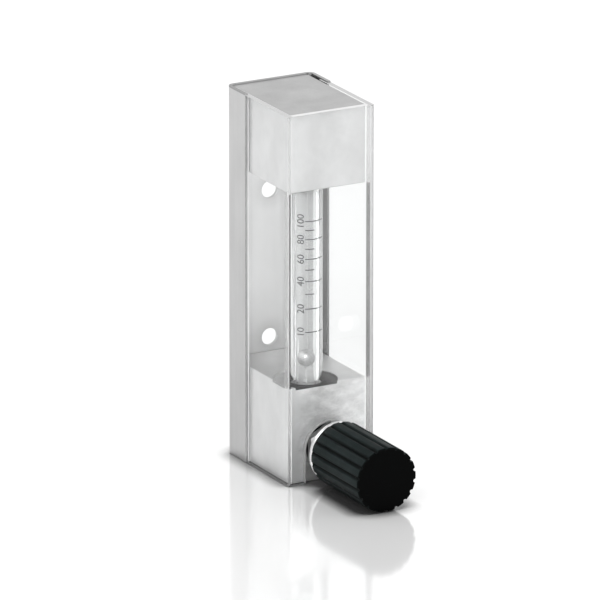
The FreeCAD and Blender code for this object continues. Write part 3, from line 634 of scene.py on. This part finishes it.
def mark_tree():
    """Geometry nodes that stack curved marks up a tube, closer and closer, and long or short."""
    tree, into = sized_tree("scale_marks", {
        "Count": "Int", "Foot": "Float", "Span": "Float", "Closing": "Float", "Radius": "Float",
        "Centre": "Vector", "Start": "Float", "Long": "Float", "Short": "Float", "Stroke": "Float",
        "Ink": "Float", "Material": "Material",
    })
    node, link, work = tree.nodes.new, tree.links.new, partial(combined, tree)
    points = node("GeometryNodePoints")
    link(into.outputs["Count"], points.inputs["Count"])
    index = node("GeometryNodeInputIndex").outputs["Index"]
    share = work("DIVIDE", index, work("SUBTRACT", into.outputs["Count"], 1.0))
    rise = work("MULTIPLY", work("POWER", share, into.outputs["Closing"]), into.outputs["Span"])
    height = node("ShaderNodeCombineXYZ")
    link(work("ADD", rise, into.outputs["Foot"]), height.inputs["Z"])
    place = node("ShaderNodeVectorMath")
    link(into.outputs["Centre"], place.inputs[0])
    link(height.outputs[0], place.inputs[1])
    link(place.outputs[0], points.inputs["Position"])
    long_mark = work("MAXIMUM", work("MODULO", index, 2.0), work("LESS_THAN", index, 1.0))
    sets = node("GeometryNodeJoinGeometry")
    for sweep_name, chosen in (("Long", long_mark), ("Short", work("SUBTRACT", 1.0, long_mark))):
        arc = node("GeometryNodeCurveArc")
        arc.inputs["Resolution"].default_value = 24
        link(into.outputs["Radius"], arc.inputs["Radius"])
        link(into.outputs["Start"], arc.inputs["Start Angle"])
        link(into.outputs[sweep_name], arc.inputs["Sweep Angle"])
        copies = node("GeometryNodeInstanceOnPoints")
        link(points.outputs[0], copies.inputs["Points"])
        link(chosen, copies.inputs["Selection"])
        link(arc.outputs["Curve"], copies.inputs["Instance"])
        link(copies.outputs["Instances"], sets.inputs[0])
    arcs = node("GeometryNodeRealizeInstances")
    link(sets.outputs[0], arcs.inputs["Geometry"])
    section = node("GeometryNodeCurvePrimitiveQuadrilateral")
    link(into.outputs["Ink"], section.inputs["Width"])
    link(into.outputs["Stroke"], section.inputs["Height"])
    return end_tree(tree, into, swept(tree, arcs.outputs["Geometry"], section))


marks = grown("scale_marks", mark_tree(), {
    "Count": MARK_COUNT, "Foot": MARK_FOOT, "Span": MARK_SPAN, "Closing": MARK_CLOSING,
    "Radius": tube_radius, "Centre": (tube_x, tube_y, 0.0), "Start": MARK_START - math.pi / 2,
    "Long": LONG_MARK, "Short": SHORT_MARK, "Stroke": MARK_STROKE, "Ink": 2 * INK_THICKNESS,
    "Material": ink,
})
attach(marks, "housing")

figures = bmesh.new()
for mark, words in NUMBERS.items():
    lettering = bpy.data.curves.new("number", "FONT")
    lettering.body = words
    lettering.size = NUMBER_SIZE
    lettering.extrude = INK_THICKNESS
    lettering.align_x = "CENTER"
    holder = bpy.data.objects.new("number", lettering)
    flat = bpy.data.meshes.new_from_object(holder)
    bpy.data.objects.remove(holder)
    number = bmesh.new()
    number.from_mesh(flat)
    bmesh.ops.remove_doubles(number, verts=number.verts, dist=0.001 * MM)
    for step in range(1, NUMBER_SLICES):
        everything = number.verts[:] + number.edges[:] + number.faces[:]
        level = Vector((0.0, step * NUMBER_SIZE / NUMBER_SLICES, 0.0))
        bmesh.ops.bisect_plane(number, geom=everything, plane_co=level, plane_no=(0.0, 1.0, 0.0))
    height = MARK_FOOT + MARK_SPAN * (mark / (MARK_COUNT - 1)) ** MARK_CLOSING
    for vertex in number.verts:
        angle = NUMBER_BASE - vertex.co.y / tube_radius
        reach = tube_radius + vertex.co.z
        vertex.co = Vector((tube_x + reach * math.sin(angle), tube_y - reach * math.cos(angle),
                            height + vertex.co.x))
    number.to_mesh(flat)
    number.free()
    figures.from_mesh(flat)
attach(meshed("scale_numbers", figures), "housing", ink)

# ---------------------------------------------------------------------------------------------
# Ball float and its stops. The ball is ground and polished stainless steel. Below and above it
# a white fluoropolymer collar with three fins is pushed into the bore, so that the flow passes
# between the fins and the ball cannot leave the tube.
# ---------------------------------------------------------------------------------------------
BALL_STEPS = 48

polished_steel = metal("polished_steel", colours=(0.74, 0.8), roughness=(0.06, 0.12),
                       grain_scale=700.0, stretch=(1.0, 1.0, 1.0), depth=0.0004 * MM)
white_plastic = moulded("white_fluoropolymer", colours=(0.4, 0.5), roughness=(0.4, 0.5),
                        scale=1500.0, depth=0.003 * MM)
ball_low, ball_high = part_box("float_ball")
ball_radius = (ball_high[2] - ball_low[2]) / 2
ball_middle = (ball_high[2] + ball_low[2]) / 2
ball_angles = [math.pi * step / BALL_STEPS for step in range(BALL_STEPS + 1)]
ball_outline = [(ball_radius * math.sin(angle), ball_middle - ball_radius * math.cos(angle))
                for angle in ball_angles]


def ball_tone(tree):
    """A painted highlight on the upper left stands for a lamp's reflection; painted shade lies
    below.
    """
    spot = (tube_x - 0.62 * ball_radius, 0.0, ball_middle + 0.42 * ball_radius)
    # Painted highlight in place of a lamp's reflection.
    painted_highlight = ring_zone(tree, spot, 0.16 * ball_radius, 0.6 * ball_radius, at_inner=1.9, at_outer=0.0)
    # Painted shade, darkest underneath.
    painted_ball_underside = zone(tree, "Z", ball_low[2], ball_high[2], at_start=-0.1, at_end=0.75)
    return combined(tree, "ADD", painted_highlight, painted_ball_underside)


ball_steel = metal("ground_ball_steel", colours=(0.36, 0.44), roughness=(0.1, 0.16),
                   grain_scale=900.0, stretch=(1.0, 1.0, 1.0), depth=0.0003 * MM, tone=ball_tone)
fit(revolved("float_ball_body", ball_outline, (tube_x, tube_y, 0.0)), "float_ball", "float",
    ball_steel)
for node in ("lower_float_stop", "upper_float_stop"):
    fit(worked_copy(node, node + "_moulding", edge=0.06 * MM), node, "housing",
        white_plastic)

# ---------------------------------------------------------------------------------------------
# Needle valve. All of it is turned from stainless bar: an orifice insert at the chamber's end, a
# hexagon bonnet screwed in against a rubber washer, a polished ring on its neck, and the spindle
# with its needle, which a rubber ring seals in the bonnet.
# ---------------------------------------------------------------------------------------------
RING_OVERHANG = 0.55 * MM
RIM_SHARE = 0.8

fit(worked_copy("valve_seat", "orifice_insert", edge=0.05 * MM), "valve_seat", "housing",
    turned_steel)
bonnet_steel = metal("milled_bonnet_steel", colours=(0.5, 0.62), roughness=(0.3, 0.42),
                     grain_scale=1300.0, stretch=(1.0, 0.2, 1.0), depth=0.004 * MM,
                     mottle_scale=300.0)
fit(worked_copy("valve_bonnet", "hexagon_bonnet", edge=0.12 * MM), "valve_bonnet", "housing",
    bonnet_steel)
for node, body in (("bonnet_washer", "housing"), ("spindle_ring", "spindle")):
    fit(worked_copy(node, node + "_seal", edge=0.0), node, body, black_rubber)
neck_ring = worked_copy("bonnet_collar", "neck_ring", edge=0.12 * MM)
ring_low, ring_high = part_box("bonnet_collar")
ring_axis = (ring_low[2] + ring_high[2]) / 2
ring_radius = (ring_high[0] - ring_low[0]) / 2
for vertex in neck_ring.data.vertices:
    across = Vector((vertex.co.x, 0.0, vertex.co.z - ring_axis))
    if across.length > RIM_SHARE * ring_radius:
        vertex.co += across.normalized() * RING_OVERHANG
fit(neck_ring, "bonnet_collar", "housing", polished_steel)
fit(worked_copy("valve_spindle", "needle_spindle", edge=0.05 * MM), "valve_spindle", "spindle",
    turned_steel)

# ---------------------------------------------------------------------------------------------
# Knob. Compression-moulded black plastic with eighteen flutes, hollow at the back, with a brass
# bush and a grub screw that clamps it on the spindle's end. The mould leaves a fine skin.
# ---------------------------------------------------------------------------------------------
FLUTES = 18
FLUTE_DEPTH = 0.75 * MM
FLUTE_HALF_WIDTH = 0.62 * MM
KNOB_EDGE = 0.3 * MM
RECESS_RADIUS = 7.4 * MM
RECESS_DEPTH = 2.0 * MM
BUSH_RADIUS = 4.05 * MM
BUSH_DEPTH = 11.8 * MM
GRUB_HOLE_RADIUS = 1.5 * MM
GRUB_SETBACK = 5.5 * MM
REAR_EDGE = 0.2 * MM
DRILL_START = 1.0 * MM


def flute_tree():
    """Geometry nodes that press round flutes into a body turned about an axis along Y."""
    tree, into = sized_tree("knob_flutes", {
        "Geometry": "Geometry", "Axis": "Vector", "Radius": "Float", "Flutes": "Int",
        "Depth": "Float", "Half Width": "Float", "Material": "Material",
    })
    node, link, work = tree.nodes.new, tree.links.new, partial(combined, tree)
    radius = into.outputs["Radius"]
    local = node("ShaderNodeVectorMath")
    local.operation = "SUBTRACT"
    link(node("GeometryNodeInputPosition").outputs[0], local.inputs[0])
    link(into.outputs["Axis"], local.inputs[1])
    parts = node("ShaderNodeSeparateXYZ")
    link(local.outputs[0], parts.inputs[0])
    across, upwards = parts.outputs["X"], parts.outputs["Z"]
    squares = work("ADD", work("MULTIPLY", across, across), work("MULTIPLY", upwards, upwards))
    reach = work("SQRT", squares)
    pitch = work("DIVIDE", 2 * math.pi, into.outputs["Flutes"])
    turn = work("DIVIDE", work("ARCTAN2", across, upwards), pitch)
    offset = work("SUBTRACT", turn, work("ROUND", turn))
    gap = work("MULTIPLY", offset, pitch, radius)
    share = work("MINIMUM", work("ABSOLUTE", work("DIVIDE", gap, into.outputs["Half Width"])), 1.0)
    bowl = work("SQRT", work("SUBTRACT", 1.0, work("MULTIPLY", share, share)))
    floor = work("SUBTRACT", radius, work("MULTIPLY", bowl, into.outputs["Depth"]))
    kept = work("DIVIDE", work("MINIMUM", reach, floor), work("MAXIMUM", reach, 1e-6))
    pressed = node("ShaderNodeCombineXYZ")
    link(work("MULTIPLY", across, kept), pressed.inputs["X"])
    link(parts.outputs["Y"], pressed.inputs["Y"])
    link(work("MULTIPLY", upwards, kept), pressed.inputs["Z"])
    back = node("ShaderNodeVectorMath")
    link(pressed.outputs[0], back.inputs[0])
    link(into.outputs["Axis"], back.inputs[1])
    move = node("GeometryNodeSetPosition")
    link(into.outputs["Geometry"], move.inputs["Geometry"])
    link(back.outputs[0], move.inputs["Position"])
    return end_tree(tree, into, move.outputs["Geometry"])


knob_low, knob_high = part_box("knob")
knob_radius = (knob_high[0] - knob_low[0]) / 2
knob_axis = (0.0, 0.0, (knob_high[2] + knob_low[2]) / 2)
rear, front = knob_high[1], knob_low[1]
recess_floor = rear - RECESS_DEPTH


def knob_tone(tree):
    """Painted shade makes the flat end blacker than the sides, the flutes and the underside darker.
    """
    # Painted shade in the flutes, lighter on the ridges.
    painted_flute_shade = ring_zone(tree, knob_axis, knob_radius - FLUTE_DEPTH, knob_radius - 0.05 * MM,
                     at_inner=0.2, at_outer=1.0)
    # Painted shade on the flat end.
    end = zone(tree, "Y", front + 0.05 * MM, front + 0.3 * MM, at_start=0.15, at_end=1.0)
    # Painted shade on the underside.
    painted_knob_underside = zone(tree, "Z", knob_low[2], knob_axis[2], at_start=0.35, at_end=1.0)
    return combined(tree, "MULTIPLY", painted_flute_shade, end, painted_knob_underside)


def drilled(piece, place, radius, depth):
    """Drill a round hole straight up into a piece from below."""
    foot, end = place[2], place[2] + depth
    rod = [(0.0, foot), (radius, foot), (radius, end), (0.0, end)]
    tool = revolved("drill", rod, place, steps=32)
    hole = piece.modifiers.new("hole", "BOOLEAN")
    hole.operation = "DIFFERENCE"
    hole.solver = "EXACT"
    hole.object = tool
    applied(piece, hole)
    bpy.data.objects.remove(tool)


black_plastic = moulded("moulded_black_plastic",
                        colours=((0.010, 0.0145, 0.0145), (0.021, 0.029, 0.029)),
                        roughness=(0.36, 0.5), scale=1400.0, depth=0.006 * MM, gloss=0.035,
                        tone=knob_tone)
flute_floor = knob_radius - FLUTE_DEPTH
side_rear, side_front = rear - REAR_EDGE, front + KNOB_EDGE
knob_outline = [
    (0.0, recess_floor - BUSH_DEPTH), (BUSH_RADIUS, recess_floor - BUSH_DEPTH),
    (BUSH_RADIUS, recess_floor),
    (RECESS_RADIUS - 0.3 * MM, recess_floor), (RECESS_RADIUS, recess_floor + 0.3 * MM),
    (RECESS_RADIUS, rear - 0.1 * MM), (RECESS_RADIUS + 0.1 * MM, rear),
    *[(flute_floor + FLUTE_DEPTH * share, rear) for share in (-0.1, 0.1, 0.35, 0.6, 0.85)],
    (knob_radius - 0.05 * MM, rear - 0.05 * MM), (knob_radius, side_rear),
    *[(knob_radius, side_rear + (side_front - side_rear) * share / 6) for share in range(1, 7)],
    *rounded((knob_radius, front), -1, 1, KNOB_EDGE, 5)[1:],
    *[(flute_floor + FLUTE_DEPTH * share, front) for share in (0.4, 0.2, 0.0, -0.2)],
    (6.0 * MM, front), (3.0 * MM, front), (0.0, front),
]
knob_blank = revolved("knob_blank", knob_outline, knob_axis, axis="Y", steps=FLUTES * 16)
knob_blank_mesh = knob_blank.data
bpy.data.objects.remove(knob_blank)
knob = grown("fluted_knob", flute_tree(), {
    "Axis": knob_axis, "Radius": knob_radius, "Flutes": FLUTES, "Depth": FLUTE_DEPTH,
    "Half Width": FLUTE_HALF_WIDTH, "Material": black_plastic,
}, knob_blank_mesh)
pressed_form = bmesh.new()
pressed_form.from_mesh(knob.data)
bmesh.ops.remove_doubles(pressed_form, verts=pressed_form.verts, dist=0.002 * MM)
pressed_form.to_mesh(knob.data)
pressed_form.free()
drilled(knob, (0.0, recess_floor - GRUB_SETBACK, knob_low[2] - DRILL_START), GRUB_HOLE_RADIUS,
        knob_axis[2] - knob_low[2] - DRILL_START)
fit(knob, "knob", "knob")
bush_brass = metal("turned_brass", colours=((0.62, 0.43, 0.17), (0.74, 0.53, 0.24)),
                   roughness=(0.22, 0.34), grain_scale=1400.0, stretch=(1.0, 0.3, 1.0),
                   depth=0.003 * MM)
fit(worked_copy("knob_insert", "knob_bush", edge=0.06 * MM), "knob_insert", "knob",
    bush_brass)
fit(worked_copy("knob_grub_screw", "knob_grub", edge=0.05 * MM), "knob_grub_screw", "knob",
    turned_steel)

# ---------------------------------------------------------------------------------------------
# Cover. Clear acrylic, folded hot to a sharp U and polished on its edges, slides down over both
# blocks with its tongues inside the channel. A slot in its front clears the valve.
# ---------------------------------------------------------------------------------------------
FILM_WALL = 0.02 * MM
CUT_EDGE = 0.15 * MM
COVER_WALL = 1.7 * MM
SLOT_RADIUS = 8.2 * MM
SLIDE_GAP = 0.1 * MM

clear_acrylic = clear("clear_acrylic", ior=1.1, colour=(0.985, 0.99, 0.99), roughness=(0.0, 0.03),
                      streak=0.002 * MM)


def edge_tone(tree):
    """The front's cut edge is polished brighter than those of the sides."""
    left = zone(tree, "X", -12.5 * MM, -12.2 * MM, at_start=0.72, at_end=1.0)
    right = zone(tree, "X", 12.2 * MM, 12.5 * MM, at_start=0.0, at_end=-0.3)
    return combined(tree, "ADD", left, right)


def painted_foot_shade(tree):
    """Painted shade makes the cover's foot darker than the sides of its slot."""
    return zone(tree, "Z", 0.1 * MM, 0.4 * MM, at_start=0.35, at_end=1.0)


def cut_top(face):
    """Whether a face is on the cover's polished top edge."""
    return face.normal.z > 0.9 and face.center.z > cover_high[2] - CUT_EDGE


def sawn(face):
    """Whether a face is on the cover's foot or on the sides of its slot."""
    at_foot = face.normal.z < -0.9 and face.center.z < cover_low[2] + CUT_EDGE
    in_slot = abs(face.center.x) < SLOT_RADIUS + CUT_EDGE and abs(face.normal.y) < 0.1
    return at_foot or in_slot and face.normal.z < 0.9


cut_acrylic = moulded("cut_acrylic_edge", colours=(0.78, 0.86), roughness=(0.3, 0.5), scale=900.0,
                      depth=0.01 * MM, tone=edge_tone)
sawn_acrylic = moulded("sawn_acrylic_edge", colours=(0.36, 0.48), roughness=(0.4, 0.6),
                       scale=900.0, depth=0.01 * MM, gloss=0.2, tone=painted_foot_shade)
cover = worked_copy("front_cover", "clear_cover_sheet", edge=0.0)
fit(cover, "front_cover", "housing", clear_acrylic)
cover_low, cover_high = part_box("front_cover")
second_finish(cover, cut_acrylic, cut_top)
second_finish(cover, sawn_acrylic, sawn)


def film(name, start, end, low, high, material):
    """Stand a thin upright film in the cover's wall, between two places and two heights."""
    form = bmesh.new()
    near, far = Vector((*start, 0.0)), Vector((*end, 0.0))
    along = (far - near).normalized()
    side = Vector((-along.y, along.x, 0.0)) * FILM_WALL / 2
    ring = (near - side, far - side, far + side, near + side)
    verts = [form.verts.new(corner + Vector((0.0, 0.0, level)))
             for level in (low, high) for corner in ring]
    form.faces.new(verts[3::-1])
    form.faces.new(verts[4:])
    for first, second in ((0, 1), (1, 2), (2, 3), (3, 0)):
        form.faces.new([verts[first], verts[second], verts[second + 4], verts[first + 4]])
    bmesh.ops.recalc_face_normals(form, faces=form.faces)
    attach(meshed(name, form), "housing", material)


def painted_film_material(name, colours, cover_share):
    """Material for a film that paints light or shade in the acrylic and hides a share of what is
    behind.
    """
    material = moulded(name, colours, roughness=(0.2, 0.3), scale=300.0, depth=0.002 * MM)
    material.node_tree.nodes["Principled BSDF"].inputs["Alpha"].default_value = cover_share
    return material


foot, top = cover_low[2] + 0.1 * MM, cover_high[2] - 0.1 * MM
# Thin films in the cover's walls paint the light and shade seen in the acrylic at its folds and by
# the left tongue: white glints, dark shade and paler light.
fold_shade = painted_film_material("fold_shade", colours=(0.14, 0.24), cover_share=0.5)
painted_fold_light = painted_film_material("painted_fold_light", colours=(0.65, 0.75), cover_share=0.35)
fold_glint = painted_film_material("fold_glint", colours=(0.95, 1.0), cover_share=0.9)
painted_wall_light = painted_film_material("painted_wall_light", colours=(0.6, 0.7), cover_share=0.3)
for name, side, start, end, low, high, material in (
    ("left_fold_glint", -1, 0.06, 0.5, window_low, window_high, fold_glint),
    ("left_fold_upper_glint", -1, 0.06, 0.97, window_high, top, fold_glint),
    ("left_fold_lower_glint", -1, 0.06, 0.97, foot, window_low, fold_glint),
    ("left_fold_shade", -1, 0.55, 0.97, window_low, window_high, fold_shade),
    ("right_fold_painted_light", 1, 0.06, 0.45, foot, top, painted_fold_light),
    ("right_fold_rear_painted_light", 1, 0.5, 0.97, window_high, top, painted_wall_light),
    ("right_fold_shade", 1, 0.5, 0.97, window_low, window_high, fold_shade),
    ("right_fold_front_painted_light", 1, 0.5, 0.97, foot, window_low, painted_wall_light),
):
    ends = [(side * (cover_high[0] - share * COVER_WALL), cover_low[1] + share * COVER_WALL)
            for share in (start, end)]
    film(name, *ends, low, high, material)
wall_middle = cover_low[0] + COVER_WALL / 2
by_tongue = channel_low[1] - SLIDE_GAP - 0.2 * MM
film("left_wall_painted_light", (wall_middle, cover_low[1] + 0.7 * MM),
     (wall_middle, cover_low[1] + 3.0 * MM), window_low, window_high, painted_wall_light)
film("left_tongue_painted_light", (cover_low[0] + 0.95 * MM, by_tongue),
     (cover_low[0] + COVER_WALL - 0.05 * MM, by_tongue), foot, top, fold_glint)

# ---------------------------------------------------------------------------------------------
# Stage. A white glossy table under soft studio lamps, with white all round for the metal and
# the clear walls to show.
# ---------------------------------------------------------------------------------------------
TABLE_HALF = 4.0
TABLE_DROP = 0.03 * MM
CONTACT_REACH = 7 * MM
LAMP_AIM = 0.05


def emitted(tree, kind, strength):
    """A plain white light of a given strength, from a surface or from all round."""
    light = tree.nodes.new(kind)
    light.inputs["Color"].default_value = (1.0, 1.0, 1.0, 1.0)
    light.inputs["Strength"].default_value = strength
    return light


def mixed(tree, share, first, second):
    """Mix two shaders by a share of the second."""
    mix = tree.nodes.new("ShaderNodeMixShader")
    if isinstance(share, (int, float)):
        mix.inputs["Fac"].default_value = share
    else:
        tree.links.new(share, mix.inputs["Fac"])
    tree.links.new(first.outputs[0], mix.inputs[1])
    tree.links.new(second.outputs[0], mix.inputs[2])
    return mix


def seen_directly(tree):
    """One for what the camera sees, by itself, in a mirror or through a clear wall."""
    rays = tree.nodes.new("ShaderNodeLightPath").outputs
    return combined(tree, "MAXIMUM", rays["Is Camera Ray"], rays["Is Glossy Ray"],
                    rays["Is Transmission Ray"])


floor_form = bmesh.new()
bmesh.ops.create_grid(floor_form, x_segments=4, y_segments=4, size=TABLE_HALF)
table = meshed("table_top", floor_form)
table.location.z = -TABLE_DROP
table_white = bpy.data.materials.new("glossy_white_table")
tree, output = node_tree(table_white)
lacquer = tree.nodes.new("ShaderNodeBsdfPrincipled")
lacquer.inputs["Roughness"].default_value = 0.12
lacquer.inputs["IOR"].default_value = 1.9
mirror = tree.nodes.new("ShaderNodeBsdfGlossy")
mirror.inputs["Roughness"].default_value = 0.1
backdrop_glow = emitted(tree, "ShaderNodeEmission", 0.1)
# Painted shade: the table's colour, mirror and glow darken near the meter by ambient occlusion.
nearness = tree.nodes.new("ShaderNodeAmbientOcclusion")
nearness.inputs["Distance"].default_value = CONTACT_REACH
painted_contact_shade = ramp(tree, nearness.outputs["AO"], [(0.45, 0.08), (0.92, 1.0)])
for socket in (lacquer.inputs["Base Color"], mirror.inputs["Color"], backdrop_glow.inputs["Color"]):
    tree.links.new(painted_contact_shade, socket)
glow = mixed(tree, seen_directly(tree), emitted(tree, "ShaderNodeEmission", 0.0), backdrop_glow)
table_top = tree.nodes.new("ShaderNodeAddShader")
tree.links.new(mixed(tree, 0.26, lacquer, mirror).outputs[0], table_top.inputs[0])
tree.links.new(glow.outputs[0], table_top.inputs[1])
tree.links.new(table_top.outputs[0], output.inputs["Surface"])
table.data.materials.append(table_white)

world = bpy.data.worlds.new("white_studio")
bpy.context.scene.world = world
world.use_nodes = True
tree = world.node_tree
tree.nodes.clear()
sky = mixed(tree, seen_directly(tree), emitted(tree, "ShaderNodeBackground", 0.88),
            emitted(tree, "ShaderNodeBackground", 1.0))
sky_out = tree.nodes.new("ShaderNodeOutputWorld")
tree.links.new(sky.outputs[0], sky_out.inputs["Surface"])

for name, place, across, power in (
    ("key_softbox", (-0.7, -0.9, 0.9), 0.7, 4.5),
    ("fill_softbox", (0.9, -0.7, 0.6), 0.8, 1.5),
):
    lamp = bpy.data.lights.new(name, "AREA")
    lamp.shape = "SQUARE"
    lamp.size = across
    lamp.energy = power
    holder = placed(name, lamp)
    holder.location = place
    towards = Vector((0.0, 0.0, LAMP_AIM)) - Vector(place)
    holder.rotation_euler = towards.to_track_quat("-Z", "Y").to_euler()

# The camera stands to the left of the front with a long lens, looking slightly down.
CAMERA_AZIMUTH = math.radians(28.5)
CAMERA_ELEVATION = math.radians(17.55)
CAMERA_DISTANCE = 3.0
CAMERA_LENS = 625.6
CAMERA_AIM = 0.0491

away = Vector((-math.sin(CAMERA_AZIMUTH) * math.cos(CAMERA_ELEVATION),
               -math.cos(CAMERA_AZIMUTH) * math.cos(CAMERA_ELEVATION), math.sin(CAMERA_ELEVATION)))
camera = placed("camera", bpy.data.cameras.new("camera"))
camera.data.sensor_width = 36.0
camera.data.lens = CAMERA_LENS
camera.location = Vector((0.0, 0.0, CAMERA_AIM)) + away * CAMERA_DISTANCE
camera.rotation_euler = (-away).to_track_quat("-Z", "Y").to_euler()
bpy.context.scene.camera = camera
bpy.context.scene.view_settings.view_transform = "Standard"
